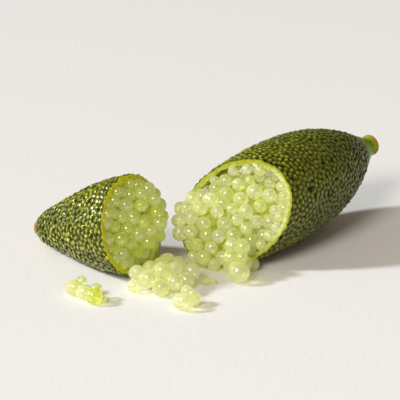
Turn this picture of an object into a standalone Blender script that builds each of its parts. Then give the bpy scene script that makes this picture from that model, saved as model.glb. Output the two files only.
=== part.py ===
# A finger lime cut in two and opened on a table. The stem end and the blossom end of the one
# fruit are cups of pebbled rind. Round juice vesicles, the pearls, bulge from both cut faces,
# pour over the lip of the stem end, and lie in a heap and two small clusters in front.
# Lengths are in millimetres and become metres where a mesh is placed.

import math
import random

import bmesh
import bpy
from mathutils import Matrix, Vector

MM = 0.001
MIDDLE = Vector((1.776, -7.779, 0.0))  # the middle of the layout, which becomes the origin

WALL = 1.15  # skin and pith together
GLAND_HEIGHT = 0.28
GLAND_PITCH = 1.05  # from one ring of oil glands to the next
CAVITY_SIDES = 20
CLEARANCE = 0.3  # between a pearl and the rind
OVERLAP = 0.88  # how close pearls sit, as a share of their two radii
THROWS = 1200  # chance places tried for each pearl
REST_DEPTH = 0.08  # how far a pearl is flattened where it rests
FACET_SWELL = 1.07  # a faceted pearl is drawn this much larger, to hold a round one's bulk
DEEPEST = -2.8  # pearls further into a cup than this are out of sight
CORE_DEPTH = 0.8  # how far the plain core lies under the pearls' centres

# Each end: a point on the axis in the cut, the axis from the cut to the tip as heading and rise
# in degrees, the normal of the oblique cut, and the radius along the axis from beyond the cut.
STEM_END = {
    "centre": Vector((6.4, -11.97, 9.5)),
    "heading": 47.4,
    "rise": 4.0,
    "cut": Vector((-0.257, -0.881, 0.396)).normalized(),
    "profile": (
        (-13, 8.5), (-8, 8.9), (0, 9.5), (6.8, 10.1), (13.6, 10.3),
        (20.4, 9.85), (26, 8.8), (31.7, 6.85), (36.8, 4.3), (40.7, 2.3),
    ),
    "tip": ((41.6, 1.75), (42.0, 1.95), (42.9, 1.9), (43.3, 1.5), (43.2, 0)),
    "cavity_end": ((33.5, 4.0), (35.2, 2.2), (35.6, 0)),
    "sides": 40,
    "first_ring": -10.5,
}
BLOSSOM_END = {
    "centre": Vector((-12.92, -17.07, 9.73)),
    "heading": 143.7,
    "rise": -15.3,
    "cut": Vector((0.803, -0.554, 0.217)).normalized(),
    "profile": ((-8, 9.9), (-1.5, 9.75), (5.5, 8.75), (10.5, 7.4), (15.5, 5.65), (19.5, 4.2), (22.5, 2.9)),
    "tip": ((23.8, 2.1), (24.8, 1.5), (25.3, 1.0), (25.2, 0)),
    "cavity_end": ((19.5, 2.3), (20.6, 1.2), (20.9, 0)),
    "sides": 36,
    "first_ring": -3.2,
}

SKIN = ("skin", (0.16, 0.22, 0.05, 1), 0.45)
PEARL = ("pearl", (0.72, 0.76, 0.38, 1), 0.15)


def clear_scene():
    for item in list(bpy.data.objects):
        bpy.data.objects.remove(item, do_unlink=True)


def make_collection(name):
    made = bpy.data.collections.new(name)
    bpy.context.scene.collection.children.link(made)
    return made


def make_material(name, look):
    made = bpy.data.materials.new(name)
    made.use_nodes = True
    shader = made.node_tree.nodes["Principled BSDF"]
    shader.inputs["Base Color"].default_value = look[1]
    shader.inputs["Roughness"].default_value = look[2]
    shader.inputs["Metallic"].default_value = 0.0
    return made


def axis_of(end):
    heading = math.radians(end["heading"])
    rise = math.radians(end["rise"])
    flat = math.cos(rise)
    return Vector((flat * math.cos(heading), flat * math.sin(heading), math.sin(rise)))


def radius_at(profile, place):
    """Radius of the fruit at a place on its axis: a smooth curve through the profile's points."""
    points = list(profile)
    if place <= points[0][0]:
        return points[0][1]
    if place >= points[-1][0]:
        return points[-1][1]
    last = len(points) - 1
    first = max(i for i in range(last) if points[i][0] <= place)
    slopes = []
    for i in (first, first + 1):
        low, high = points[max(i - 1, 0)], points[min(i + 1, last)]
        slopes.append((high[1] - low[1]) / (high[0] - low[0]))
    (x0, y0), (x1, y1) = points[first], points[first + 1]
    width = x1 - x0
    t = (place - x0) / width
    ease = t * t * (3 - 2 * t)
    start = t * (1 - t) * (1 - t) * width * slopes[0]
    stop = t * t * (t - 1) * width * slopes[1]
    return y0 + (y1 - y0) * ease + start + stop


def stations(end, inset, first, spacing):
    """Places and radii along the axis, evenly spaced from the first place to the profile's end."""
    stop = end["profile"][-1][0]
    count = int(round((stop - first) / spacing))
    places = [first + (stop - first) * i / count for i in range(count + 1)]
    return [(place, radius_at(end["profile"], place) - inset) for place in places]


def turned(name, outline, sides, collection, closed=False):
    """A solid turned about Z from (place, radius) points given from the bottom up."""
    mesh = bpy.data.meshes.new(name)
    path = [(radius * MM, 0, place * MM) for place, radius in reversed(outline)]
    edges = [(i, i + 1) for i in range(len(path) - 1)]
    if closed:
        edges.append((len(path) - 1, 0))
    mesh.from_pydata(path, edges, [])
    made = bpy.data.objects.new(name, mesh)
    collection.objects.link(made)
    screw = made.modifiers.new("turn", "SCREW")
    screw.steps = sides
    screw.render_steps = sides
    screw.use_merge_vertices = True
    screw.merge_threshold = 0.00001
    return made


def apply_modifiers(item):
    bpy.context.view_layer.update()
    graph = bpy.context.evaluated_depsgraph_get()
    mesh = bpy.data.meshes.new_from_object(item.evaluated_get(graph))
    item.modifiers.clear()
    item.data = mesh
    return item


def lay_along(item, end):
    """Turns an upright solid onto the axis of its end of the fruit."""
    item.rotation_mode = "QUATERNION"
    item.rotation_quaternion = Vector((0, 0, 1)).rotation_difference(axis_of(end))
    item.location = (end["centre"] - MIDDLE) * MM
    return item


def raise_glands(item, end):
    """Raises every second point of each ring, turn about, into the skin's oil glands."""
    fade_from, fade_to = end["profile"][-2][0], end["profile"][-1][0]
    for point in item.data.vertices:
        place = point.co.z / MM
        radius = math.hypot(point.co.x, point.co.y) / MM
        if radius < 0.1 or place > fade_to:
            continue
        turn = math.atan2(point.co.y, point.co.x)
        ring = math.cos(math.pi * (place - end["first_ring"]) / ring_spacing(end))
        lift = GLAND_HEIGHT * (0.5 + 0.5 * ring * math.cos(end["sides"] / 2 * turn))
        lift *= min(1.0, (fade_to - place) / (fade_to - fade_from))
        scale = 1 + lift / radius
        point.co.x *= scale
        point.co.y *= scale
    split_between_glands(item)


def split_between_glands(item):
    """Splits each quad from one low corner to the other, so that every gland is a low pyramid."""
    form = bmesh.new()
    form.from_mesh(item.data)
    for face in [f for f in form.faces if len(f.verts) == 4]:
        a, b, c, d = face.verts
        out = [math.hypot(v.co.x, v.co.y) for v in (a, b, c, d)]
        pair = (a, c) if out[0] + out[2] < out[1] + out[3] else (b, d)
        bmesh.utils.face_split(face, *pair)
    form.to_mesh(item.data)
    form.free()


def ring_spacing(end):
    length = end["profile"][-1][0] - end["first_ring"]
    return length / round(length / GLAND_PITCH)


def add_cutter(name, collection):
    bpy.ops.mesh.primitive_cube_add(size=1)
    made = bpy.context.active_object
    made.name = name
    for home in list(made.users_collection):
        home.objects.unlink(made)
    collection.objects.link(made)
    return made


def hide_cutter(item):
    item.hide_render = True
    item.display_type = "WIRE"
    return item


def cut_block(name, end, shift, collection):
    """A block that covers all beyond the cut, moved out along the cut's normal by shift."""
    width, depth = 70, 40
    made = add_cutter(name, collection)
    made.data.transform(Matrix.Diagonal((width * MM, width * MM, depth * MM, 1)))
    made.rotation_mode = "QUATERNION"
    made.rotation_quaternion = Vector((0, 0, 1)).rotation_difference(end["cut"])
    made.location = (end["centre"] - MIDDLE + end["cut"] * (depth / 2 + shift)) * MM
    return hide_cutter(made)


def table_block(collection):
    width, depth = 160, 20
    made = add_cutter("table_cutter", collection)
    made.data.transform(Matrix.Diagonal((width * MM, width * MM, depth * MM, 1)))
    made.location = (0, 0, -depth / 2 * MM)
    return hide_cutter(made)


def subtract(item, cutter):
    cut = item.modifiers.new("less " + cutter.name, "BOOLEAN")
    cut.operation = "DIFFERENCE"
    cut.object = cutter


def rind(name, end, collection, cutters, table):
    """One end of the rind: a pebbled cup with a cut rim and a small flat where it rests."""
    outline = stations(end, 0, end["first_ring"], ring_spacing(end))
    outline = [(end["first_ring"], 0)] + outline + list(end["tip"])
    made = lay_along(turned(name, outline, end["sides"], collection), end)
    apply_modifiers(made)
    raise_glands(made, end)
    cavity_stop = end["cavity_end"][0][0]
    inner = [spot for spot in stations(end, WALL, -12, 3.2) if spot[0] < cavity_stop - 1]
    inner = [(inner[0][0], 0)] + inner + list(end["cavity_end"])
    cavity = lay_along(turned(name + "_cavity", inner, CAVITY_SIDES, cutters), end)
    subtract(made, hide_cutter(cavity))
    subtract(made, cut_block(name + "_cut", end, 0, cutters))
    subtract(made, table)
    return made


def rind_clearance(name, end, cutters):
    """The wall of one end, a little thicker each way, which the pearls are cut back from."""
    spread = GLAND_HEIGHT + CLEARANCE
    outside = [spot for spot in stations(end, -spread, -12, 3.2) if spot[1] > WALL * 3]
    inside = [(spot, size - spread - WALL - CLEARANCE) for spot, size in outside]
    ring = list(reversed(inside)) + outside
    made = lay_along(turned(name, ring, CAVITY_SIDES, cutters, closed=True), end)
    subtract(made, cut_block(name + "_cut", end, CLEARANCE, cutters))
    return hide_cutter(made)


class Lobe:
    """An ellipsoid that pearls are scattered over, with its third axis along a normal."""

    def __init__(self, centre, radii, normal=(0, 0, 1), along=(1, 0, 0)):
        third = Vector(normal).normalized()
        first = (Vector(along) - Vector(along).dot(third) * third).normalized()
        self.centre = Vector(centre)
        self.radii = Vector(radii)
        self.turn = Matrix((first, third.cross(first), third)).transposed()

    def point(self, direction):
        return self.centre + self.turn @ Vector(r * d for r, d in zip(self.radii, direction))

    def depth(self, spot):
        """Less than 1 inside the lobe, more outside."""
        local = self.turn.transposed() @ (spot - self.centre)
        return math.sqrt(sum((v / r) ** 2 for v, r in zip(local, self.radii)))

    def area(self):
        a, b, c = self.radii
        return (((a * b) ** 1.6 + (a * c) ** 1.6 + (b * c) ** 1.6) / 3) ** (1 / 1.6)


def no_room(spot, size, end):
    """True where a pearl would press into the wall of one end, or lie out of sight deep in it."""
    offset = spot - end["centre"]
    place = offset.dot(axis_of(end))
    height = offset.dot(end["cut"])
    radius = (offset - place * axis_of(end)).length
    outside = radius_at(end["profile"], place)
    if height > 0.7 * size or radius > outside + 0.9 * size:
        return False
    return radius > outside - WALL - 0.6 * size or height < DEEPEST


def throw(draw, lobes, weights, sizes):
    """One pearl at a chance place on the lobes, lifted onto the table where it would sink in."""
    lobe = draw.choices(lobes, weights)[0]
    spot = lobe.point(Vector([draw.gauss(0, 1) for _ in range(3)]).normalized())
    size = draw.uniform(*sizes)
    buried = spot.z < -1 or any(o is not lobe and o.depth(spot) < 0.95 for o in lobes)
    spot.z = max(spot.z, size - REST_DEPTH)
    return spot, size, buried


def scatter(lobes, sizes, seed, taken, others):
    """Packs pearls over the lobes: of many throws that find room, the snuggest is kept each time."""
    draw = random.Random(seed)
    weights = [lobe.area() for lobe in lobes]
    kept = list(taken)
    while True:
        best = None
        for _ in range(THROWS):
            spot, size, buried = throw(draw, lobes, weights, sizes)
            if buried or no_room(spot, size, STEM_END) or no_room(spot, size, BLOSSOM_END):
                continue
            if any((spot - p).length < size + s + CLEARANCE for p, s in others):
                continue
            gaps = sorted((spot - p).length / (size + s) for p, s in kept)
            if gaps and gaps[0] < OVERLAP:
                continue
            snug = sum(gaps[:3])
            if best is None or snug < best[0]:
                best = (snug, spot, size)
        if best is None:
            return kept
        kept.append(best[1:])


def add_ball(name, spot, radii, collection, fineness, draw=None):
    mesh = bpy.data.meshes.new(name)
    form = bmesh.new()
    bmesh.ops.create_icosphere(form, subdivisions=fineness, radius=1)
    bmesh.ops.transform(form, matrix=Matrix.Diagonal((*(Vector(radii) * MM), 1)), verts=form.verts)
    if draw:
        around = Vector([draw.gauss(0, 1) for _ in range(3)]).normalized()
        turn = Matrix.Rotation(draw.uniform(0, 2 * math.pi), 4, around)
        bmesh.ops.transform(form, matrix=turn, verts=form.verts)
    form.to_mesh(mesh)
    form.free()
    made = bpy.data.objects.new(name, mesh)
    made.location = (Vector(spot) - MIDDLE) * MM
    collection.objects.link(made)
    return made


def keep_largest_body(item):
    """Drops loose scraps and the walls of sealed hollows, so that one closed body is left."""
    form = bmesh.new()
    form.from_mesh(item.data)
    left = set(form.verts)
    bodies = []
    while left:
        queue = [left.pop()]
        body = set(queue)
        while queue:
            for edge in queue.pop().link_edges:
                for point in edge.verts:
                    if point not in body:
                        body.add(point)
                        queue.append(point)
        left -= body
        bodies.append(body)
    largest = max(bodies, key=len)
    spare = [point for point in form.verts if point not in largest]
    bmesh.ops.delete(form, geom=spare, context="VERTS")
    form.to_mesh(item.data)
    form.free()


def fuse(name, base, pearls, cutters, collection, seed):
    """Joins the pearls of one node to a base with one union, and cuts them clear of the rind."""
    draw = random.Random(seed)
    repeats = make_collection(name + "_pearls")
    for spot, size in pearls:
        add_ball(name + "_pearl", spot, [size * FACET_SWELL] * 3, repeats, 1, draw)
    join = base.modifiers.new("pearls", "BOOLEAN")
    join.operation = "UNION"
    join.operand_type = "COLLECTION"
    join.collection = repeats
    for cutter in cutters:
        subtract(base, cutter)
    apply_modifiers(base)
    for item in list(repeats.objects):
        bpy.data.objects.remove(item, do_unlink=True)
    bpy.data.collections.remove(repeats)
    keep_largest_body(base)
    base.name = name
    return base


def core_of(name, lobes, collection, plug=None):
    """The plain mass under a node's pearls: its lobes, drawn in, and the plug in the cavity."""
    shrink = Vector([CORE_DEPTH] * 3)
    balls = []
    for i, lobe in enumerate(lobes):
        ball = add_ball(f"{name}_core_{i}", lobe.centre, lobe.radii - shrink, collection, 2)
        ball.rotation_euler = lobe.turn.to_euler()
        balls.append(ball)
    base = plug or balls.pop(0)
    for i, ball in enumerate(balls):
        join = base.modifiers.new(f"lobe {i}", "BOOLEAN")
        join.operation = "UNION"
        join.object = ball
    apply_modifiers(base)
    for ball in balls:
        bpy.data.objects.remove(ball, do_unlink=True)
    return base


def plug_of(name, end, collection, cutters):
    """The packed flesh deep in one end, which stops short of the cut."""
    stop = end["cavity_end"][0][0]
    outline = [spot for spot in stations(end, WALL + 0.6, -12, 4.5) if spot[0] < stop - 2]
    deep, size = outline[-1]
    outline = [(outline[0][0], 0)] + outline + [(deep + 1.5, size * 0.6), (deep + 1.8, 0)]
    made = lay_along(turned(name, outline, 14, collection), end)
    block = cut_block(name + "_cut", end, -2.2, cutters)
    subtract(made, block)
    apply_modifiers(made)
    return made


def in_plane(end, right, up, out):
    """A place on a cut face: right and up as one looks at the face, and out of it."""
    normal = end["cut"]
    upward = (Vector((0, 0, 1)) - normal.z * normal).normalized()
    sideways = upward.cross(normal)
    return end["centre"] + sideways * right + upward * up + normal * out


def stem_lobes():
    end = STEM_END
    long_way = axis_of(end) - axis_of(end).dot(end["cut"]) * end["cut"]
    face = Lobe(in_plane(end, 0, 0, -2.4), (10.6, 8.3, 2.0), end["cut"], long_way)
    bulge = Lobe(in_plane(end, -1.2, -2.2, -0.6), (6.6, 5.6, 2.6), end["cut"], long_way)
    pour = Lobe((0.5, -11.2, 7.8), (5.0, 3.8, 5.6))
    apron = Lobe((3.4, -14.6, 3.6), (5.2, 2.8, 3.6))
    foot = Lobe((6.9, -17.6, 3.2), (2.2, 2.6, 2.4))
    return [face, bulge, pour, apron, foot]


def blossom_lobes():
    end = BLOSSOM_END
    face = Lobe(in_plane(end, 0, 0, -1.8), (8.6, 8.6, 2.3), end["cut"])
    bulge = Lobe(in_plane(end, 3.4, 0.6, 0.2), (6.2, 4.4, 3.0), end["cut"], (0, 0, 1))
    return [face, bulge]


def heap_lobes():
    heap = Lobe((-8.0, -25.0, 0.9), (5.4, 3.6, 3.4))
    back = Lobe((-6.2, -20.6, 1.0), (3.0, 2.2, 2.6))
    side = Lobe((-2.2, -21.6, 0.9), (2.0, 1.8, 1.4))
    return [heap, back, side]


CASCADE = (
    ((7.45, -22.0, 2.05), 2.1),
    ((5.9, -20.2, 4.2), 1.4),
    ((7.9, -20.3, 4.2), 1.45),
    ((6.2, -18.0, 5.6), 1.4),
    ((8.1, -18.0, 5.5), 1.45),
    ((10.2, -16.6, 1.3), 1.35),
)
FRONT_CLUSTER = (
    ((-3.6, -34.7, 1.55), 1.65),
    ((-2.6, -34.5, 1.55), 1.65),
    ((-1.1, -32.7, 1.3), 1.35),
    ((-2.5, -32.2, 2.6), 1.15),
)
LEFT_CLUSTER = (
    ((-23.8, -28.2, 1.45), 1.55),
    ((-22.5, -26.9, 2.1), 1.1),
    ((-21.9, -30.0, 1.4), 1.5),
    ((-20.0, -32.0, 1.5), 1.6),
    ((-19.5, -30.2, 2.0), 1.15),
    ((-18.3, -31.6, 0.7), 0.78),
)


def as_pearls(rows):
    return [(Vector(spot), size) for spot, size in rows]


def loose_cluster(name, pearls, collection, table, seed):
    """A few pearls that lie by themselves, stuck to each other."""
    spots = as_pearls(pearls)
    first, size = spots[0]
    base = add_ball(name, first, [size * 1.03] * 3, collection, 2)
    return fuse(name, base, spots[1:], [table], collection, seed)


def build():
    clear_scene()
    parts = make_collection("finger_lime")
    cutters = make_collection("cutters")
    table = table_block(cutters)
    walls = [rind_clearance("stem_clearance", STEM_END, cutters)]
    walls.append(rind_clearance("blossom_clearance", BLOSSOM_END, cutters))
    skins = [rind("rind_stem_end", STEM_END, parts, cutters, table)]
    skins.append(rind("rind_blossom_end", BLOSSOM_END, parts, cutters, table))

    stem = scatter(stem_lobes(), (1.15, 1.5), 11, as_pearls(CASCADE), [])
    blossom = scatter(blossom_lobes(), (1.1, 1.4), 23, [], stem)
    heap = scatter(heap_lobes(), (1.3, 1.75), 37, [], stem + blossom)

    plug = plug_of("stem_plug", STEM_END, parts, cutters)
    core = core_of("stem", stem_lobes(), parts, plug)
    clear_of = [walls[0], walls[1], table]
    masses = [fuse("pearls_stem_end", core, stem, clear_of, parts, 1)]
    plug = plug_of("blossom_plug", BLOSSOM_END, parts, cutters)
    core = core_of("blossom", blossom_lobes(), parts, plug)
    masses.append(fuse("pearls_blossom_end", core, blossom, clear_of, parts, 2))
    core = core_of("heap", heap_lobes(), parts)
    masses.append(fuse("pearls_heap", core, heap, clear_of, parts, 3))
    masses.append(loose_cluster("pearls_front_cluster", FRONT_CLUSTER, parts, table, 4))
    masses.append(loose_cluster("pearls_left_cluster", LEFT_CLUSTER, parts, table, 5))

    for item in skins:
        item.data.materials.append(make_material(item.name, SKIN))
    for item in masses:
        item.data.materials.clear()
        item.data.materials.append(make_material(item.name, PEARL))
    for item in skins + masses:
        item.data.shade_smooth()
        item.data.set_sharp_from_angle(angle=math.radians(50))


build()
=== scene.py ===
# A finger lime cut in two, its pearls spilling onto a pale table.
# The layout is in millimetres. The scene is in metres, and its origin is the middle of the layout.

import math
import random

import bpy
import bmesh
import numpy as np
from mathutils import Matrix, Vector
from mathutils.kdtree import KDTree


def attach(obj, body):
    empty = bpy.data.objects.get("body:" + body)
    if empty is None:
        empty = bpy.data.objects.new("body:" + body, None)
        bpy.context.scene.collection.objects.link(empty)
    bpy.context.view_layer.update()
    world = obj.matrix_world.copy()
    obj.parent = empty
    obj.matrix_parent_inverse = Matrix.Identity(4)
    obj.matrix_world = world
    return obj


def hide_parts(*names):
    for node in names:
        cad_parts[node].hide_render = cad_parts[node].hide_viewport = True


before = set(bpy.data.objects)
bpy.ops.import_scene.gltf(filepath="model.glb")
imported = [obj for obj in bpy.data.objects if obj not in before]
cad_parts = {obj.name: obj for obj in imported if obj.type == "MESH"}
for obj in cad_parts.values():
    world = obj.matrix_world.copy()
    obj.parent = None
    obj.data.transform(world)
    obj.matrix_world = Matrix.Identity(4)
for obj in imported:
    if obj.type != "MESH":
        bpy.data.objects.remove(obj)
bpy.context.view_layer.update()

mm = 0.001
fullTurn = 2 * math.pi
layoutMiddle = Vector((1.776, -7.779, 0.0))
wall = 1.0  # skin and pith together


def addNode(tree, kind, inputs=None, **settings):
    made = tree.nodes.new(kind)
    for name, value in settings.items():
        setattr(made, name, value)
    for name, value in (inputs or {}).items():
        if isinstance(value, bpy.types.NodeSocket):
            tree.links.new(value, made.inputs[name])
        else:
            made.inputs[name].default_value = value
    return made


def newTree(name, kind, inputs, outputs):
    # inputs and outputs are (name, socket type, value) rows
    tree = bpy.data.node_groups.new(name, kind)
    for rows, side in ((inputs, "INPUT"), (outputs, "OUTPUT")):
        for label, socketType, value in rows:
            socket = tree.interface.new_socket(label, in_out=side, socket_type=socketType)
            if value is not None:
                socket.default_value = value
    return tree


def addMath(tree, operation, first, second=0.0, clamp=False):
    made = addNode(tree, "ShaderNodeMath", {0: first, 1: second}, operation=operation)
    made.use_clamp = clamp
    return made.outputs[0]


def addSpread(tree, value, low, high, toLow=0.0, toHigh=1.0, kind="LINEAR"):
    # low to high of the value becomes toLow to toHigh
    made = addNode(
        tree, "ShaderNodeMapRange",
        {"Value": value, "From Min": low, "From Max": high, "To Min": toLow, "To Max": toHigh},
        interpolation_type=kind,
    )
    return made.outputs["Result"]


def growWith(item, tree, values):
    # the modifier's result becomes the object's own mesh
    modifier = item.modifiers.new(tree.name, "NODES")
    modifier.node_group = tree
    for socket in tree.interface.items_tree:
        if socket.item_type == "SOCKET" and socket.in_out == "INPUT" and socket.name in values:
            modifier[socket.identifier] = values[socket.name]
    bpy.context.view_layer.update()
    graph = bpy.context.evaluated_depsgraph_get()
    grown = bpy.data.meshes.new_from_object(
        item.evaluated_get(graph), preserve_all_data_layers=True, depsgraph=graph
    )
    item.modifiers.clear()
    item.data = grown
    grown.name = item.name
    return item


def addObject(name, data):
    made = bpy.data.objects.new(name, data)
    bpy.context.scene.collection.objects.link(made)
    return made


def meshObject(name, points, faces, attributes=None):
    mesh = bpy.data.meshes.new(name)
    mesh.from_pydata(points, [], faces)
    for label, values in (attributes or {}).items():
        values = np.array(values, np.float32)
        kind = "FLOAT_VECTOR" if values.ndim == 2 else "FLOAT"
        layer = mesh.attributes.new(label, kind, "POINT")
        layer.data.foreach_set("vector" if values.ndim == 2 else "value", values.ravel())
    return addObject(name, mesh)


def buildCloudGroup():
    # soft uneven patches of a size in millimetres, as in juice, pith and skin
    tree = newTree(
        "cloudPatches", "ShaderNodeTree",
        [("Size", "NodeSocketFloat", 2.0), ("Detail", "NodeSocketFloat", 2.0),
         ("Low", "NodeSocketFloat", 0.35), ("High", "NodeSocketFloat", 0.65)],
        [("Patches", "NodeSocketFloat", None)],
    )
    given = addNode(tree, "NodeGroupInput").outputs
    where = addNode(tree, "ShaderNodeTexCoord").outputs["Object"]
    perMetre = addMath(tree, "DIVIDE", 1 / mm, given["Size"])
    noise = addNode(
        tree, "ShaderNodeTexNoise",
        {"Vector": where, "Scale": perMetre, "Detail": given["Detail"], "Roughness": 0.55},
    )
    patches = addSpread(tree, noise.outputs["Fac"], given["Low"], given["High"])
    addNode(tree, "NodeGroupOutput", {"Patches": patches})
    return tree


cloudGroup = buildCloudGroup()


def addCloud(tree, size, low=0.35, high=0.65, detail=2.0):
    made = addNode(tree, "ShaderNodeGroup", node_tree=cloudGroup)
    for label, value in (("Size", size), ("Detail", detail), ("Low", low), ("High", high)):
        made.inputs[label].default_value = value
    return made.outputs["Patches"]


def addRamp(tree, factor, stops):
    # stops are (place, colour) pairs
    made = addNode(tree, "ShaderNodeValToRGB", {"Fac": factor})
    band = made.color_ramp
    while len(band.elements) < len(stops):
        band.elements.new(0.5)
    for element, (place, colour) in zip(band.elements, stops):
        element.position = place
        element.color = (*colour, 1)
    return made.outputs["Color"]


def addMix(tree, factor, first, second):
    made = addNode(tree, "ShaderNodeMix", data_type="RGBA")
    made.clamp_factor = True
    for index, value in ((0, factor), (6, first), (7, second)):  # 6 and 7 are the colours A and B
        if isinstance(value, bpy.types.NodeSocket):
            tree.links.new(value, made.inputs[index])
        elif index == 0:
            made.inputs[index].default_value = value
        else:
            made.inputs[index].default_value = (*value, 1)
    return made.outputs[2]


def addBump(tree, shader, height, strength, distance):
    # the distance is in millimetres
    bump = addNode(
        tree, "ShaderNodeBump",
        {"Height": height, "Strength": strength, "Distance": distance * mm},
    )
    tree.links.new(bump.outputs["Normal"], shader.inputs["Normal"])


def readAttribute(tree, label):
    return addNode(tree, "ShaderNodeAttribute", attribute_name=label).outputs["Fac"]


def readAcross(tree):
    # X of the scene, which grows from the blossom end to the stem end
    spot = addNode(tree, "ShaderNodeTexCoord").outputs["Object"]
    return addNode(tree, "ShaderNodeSeparateXYZ", {0: spot}).outputs["X"]


def newMaterial(name, plain):
    # plain holds the values that are the same all over
    made = bpy.data.materials.new(name)
    made.use_nodes = True
    shader = made.node_tree.nodes["Principled BSDF"]
    for label, value in plain.items():
        shader.inputs[label].default_value = value
    return made, made.node_tree, shader


skinLook = {
    "valley": (0.016, 0.030, 0.0002),
    "slope": (0.088, 0.112, 0.0004),
    "dull": (0.29, 0.28, 0.001),
    "top": (0.70, 0.61, 0.004),
    "pale": (1.0, 0.88, 0.05),
    "paintedLightFade": (-0.006, 0.024),  # the X, in metres, over which the painted light on the tops gives way to painted shade towards the stem end
    "paintedLightMost": 1.3,
    "paintedShadeShare": 0.8,  # painted shade: how far the tops go towards the slope's colour where the painted light has faded
    "patchSize": 7.0,
    "freckleSize": 0.5,
    "freckles": 0.25,
    "topsFrom": (0.5, 1.08),  # the height on a gland over which its top's colour comes in
    "neck": (0.34, 0.46, 0.004),
    "neckShade": (0.10, 0.21, 0.004),
    "streakSize": 1.1,
    "scar": (0.50, 0.24, 0.07),
    "roughTop": 0.30,
    "roughValley": 0.9,
    "coat": 0.9,
    "grainSize": 0.25,
}


def buildSkinMaterial(look):
    made, tree, shader = newMaterial("limeSkin", {
        "IOR": 1.45, "Coat Roughness": 0.18, "Coat IOR": 1.6, "Specular IOR Level": 0.1,
    })
    gland = readAttribute(tree, "gland")
    vigour = readAttribute(tree, "vigour")
    neck = readAttribute(tree, "neck")
    scar = readAttribute(tree, "scar")
    # each gland's top is as yellow as the gland is strong, in random patches that fade out towards
    # the stem end: painted shade on the side away from the light
    tops = addRamp(tree, vigour, ((0.05, look["dull"]), (0.42, look["top"]), (0.85, look["pale"])))
    # painted light: a mask by X, highest at the blossom end, that keeps the tops bright; where it
    # fades the tops are painted darker
    paintedLight = addSpread(tree, readAcross(tree), *look["paintedLightFade"], look["paintedLightMost"], 0.0)
    clouds = addCloud(tree, look["patchSize"], low=0.2, high=0.65)
    patches = addMath(tree, "MULTIPLY", clouds, paintedLight)
    tops = addMix(tree, patches, addMix(tree, look["paintedShadeShare"], tops, look["slope"]), tops)
    freckles = addCloud(tree, look["freckleSize"], low=0.2, high=0.8)
    height = addMath(tree, "ADD", gland, addMath(tree, "MULTIPLY", freckles, look["freckles"]))
    rise = addSpread(tree, height, *look["topsFrom"], kind="SMOOTHSTEP")
    base = addRamp(tree, gland, ((0.05, look["valley"]), (0.6, look["slope"])))
    colour = addMix(tree, rise, base, tops)
    streaks = addCloud(tree, look["streakSize"], low=0.3, high=0.75, detail=3.0)
    colour = addMix(tree, neck, colour, addMix(tree, streaks, look["neckShade"], look["neck"]))
    colour = addMix(tree, scar, colour, look["scar"])
    tree.links.new(colour, shader.inputs["Base Color"])
    polish = addMath(tree, "MAXIMUM", gland, neck)
    rough = addSpread(tree, polish, 0.2, 0.75, look["roughValley"], look["roughTop"])
    tree.links.new(rough, shader.inputs["Roughness"])
    coat = addSpread(tree, gland, 0.1, 0.6, 0.0, look["coat"])
    tree.links.new(coat, shader.inputs["Coat Weight"])
    grain = addCloud(tree, look["grainSize"], low=0.2, high=0.8, detail=3.0)
    addBump(tree, shader, grain, 0.3, 0.05)
    return made


rimLook = {
    "edge": (0.04, 0.10, 0.003),
    "band": (0.42, 0.44, 0.004),
    # painted light: a brighter rim colour for the blossom end's shaded cut
    "paintedLight": (0.72, 0.70, 0.012),
    "leaf": (0.22, 0.30, 0.004),
    "pith": (0.43, 0.45, 0.02),
    "palePith": (0.72, 0.72, 0.34),
    "inside": (0.62, 0.64, 0.10),
    "paleFrom": (0.009, 0.016),  # the X, in metres, over which the pith turns pale
    "paintedLightFrom": (-0.004, -0.012),  # and over which the rim is painted brighter at the blossom end: painted light on a cut that faces away from the key light
    "paintedLightMost": 0.75,
    "wanderSize": 1.2,
    "wander": 0.18,
    "patchSize": 0.9,
    "patches": 0.45,
}


def buildRimMaterial(look):
    made, tree, shader = newMaterial("cutRind", {
        "Roughness": 0.35, "IOR": 1.4, "Subsurface Weight": 0.6,
        "Subsurface Radius": (1.0, 1.0, 0.35), "Subsurface Scale": 0.0012,
    })
    wander = addCloud(tree, look["wanderSize"], low=0.2, high=0.8)
    shift = addMath(tree, "MULTIPLY", addMath(tree, "SUBTRACT", wander, 0.5), look["wander"])
    depth = addMath(tree, "ADD", readAttribute(tree, "cutDepth"), shift)
    # on the ramps the rim runs from 0 at the skin to 0.5, and the inner wall goes on from there
    half = addMath(tree, "MULTIPLY", depth, 0.5)
    colour = addRamp(tree, half, (
        (0.02, look["edge"]), (0.08, look["band"]), (0.2, look["band"]),
        (0.36, look["pith"]), (0.75, look["inside"]),
    ))
    pale = addRamp(tree, half, (
        (0.02, look["edge"]), (0.07, look["band"]), (0.13, look["band"]),
        (0.24, look["palePith"]), (0.52, look["palePith"]), (0.75, look["inside"]),
    ))
    across = readAcross(tree)
    colour = addMix(tree, addSpread(tree, across, *look["paleFrom"]), colour, pale)
    # painted light: the rim of the blossom end, whose cut faces away from the light, is painted
    # brighter
    paintedLight = addSpread(tree, across, *look["paintedLightFrom"], 0.0, look["paintedLightMost"])
    colour = addMix(tree, paintedLight, colour, look["paintedLight"])
    clouds = addCloud(tree, look["patchSize"], low=0.45, high=0.75)
    patches = addMath(tree, "MULTIPLY", clouds, look["patches"])
    colour = addMix(tree, patches, colour, look["leaf"])
    tree.links.new(colour, shader.inputs["Base Color"])
    addBump(tree, shader, wander, 0.5, 0.2)
    return made


pearlLook = {
    "milky": (0.96, 0.97, 0.70),
    "green": (0.81, 0.87, 0.18),
    "patchSize": 1.6,
    "patches": 0.2,
    "roughness": 0.04,
    "clear": 0.62,
    # painted glow: the pearls give off a little light of their own colour, standing in for light
    # carried through the juice
    "paintedGlow": 0.078,
    "through": 0.25,
    "shadowTint": (0.98, 0.97, 0.70),
    "shadowLight": 0.46,
}


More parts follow.
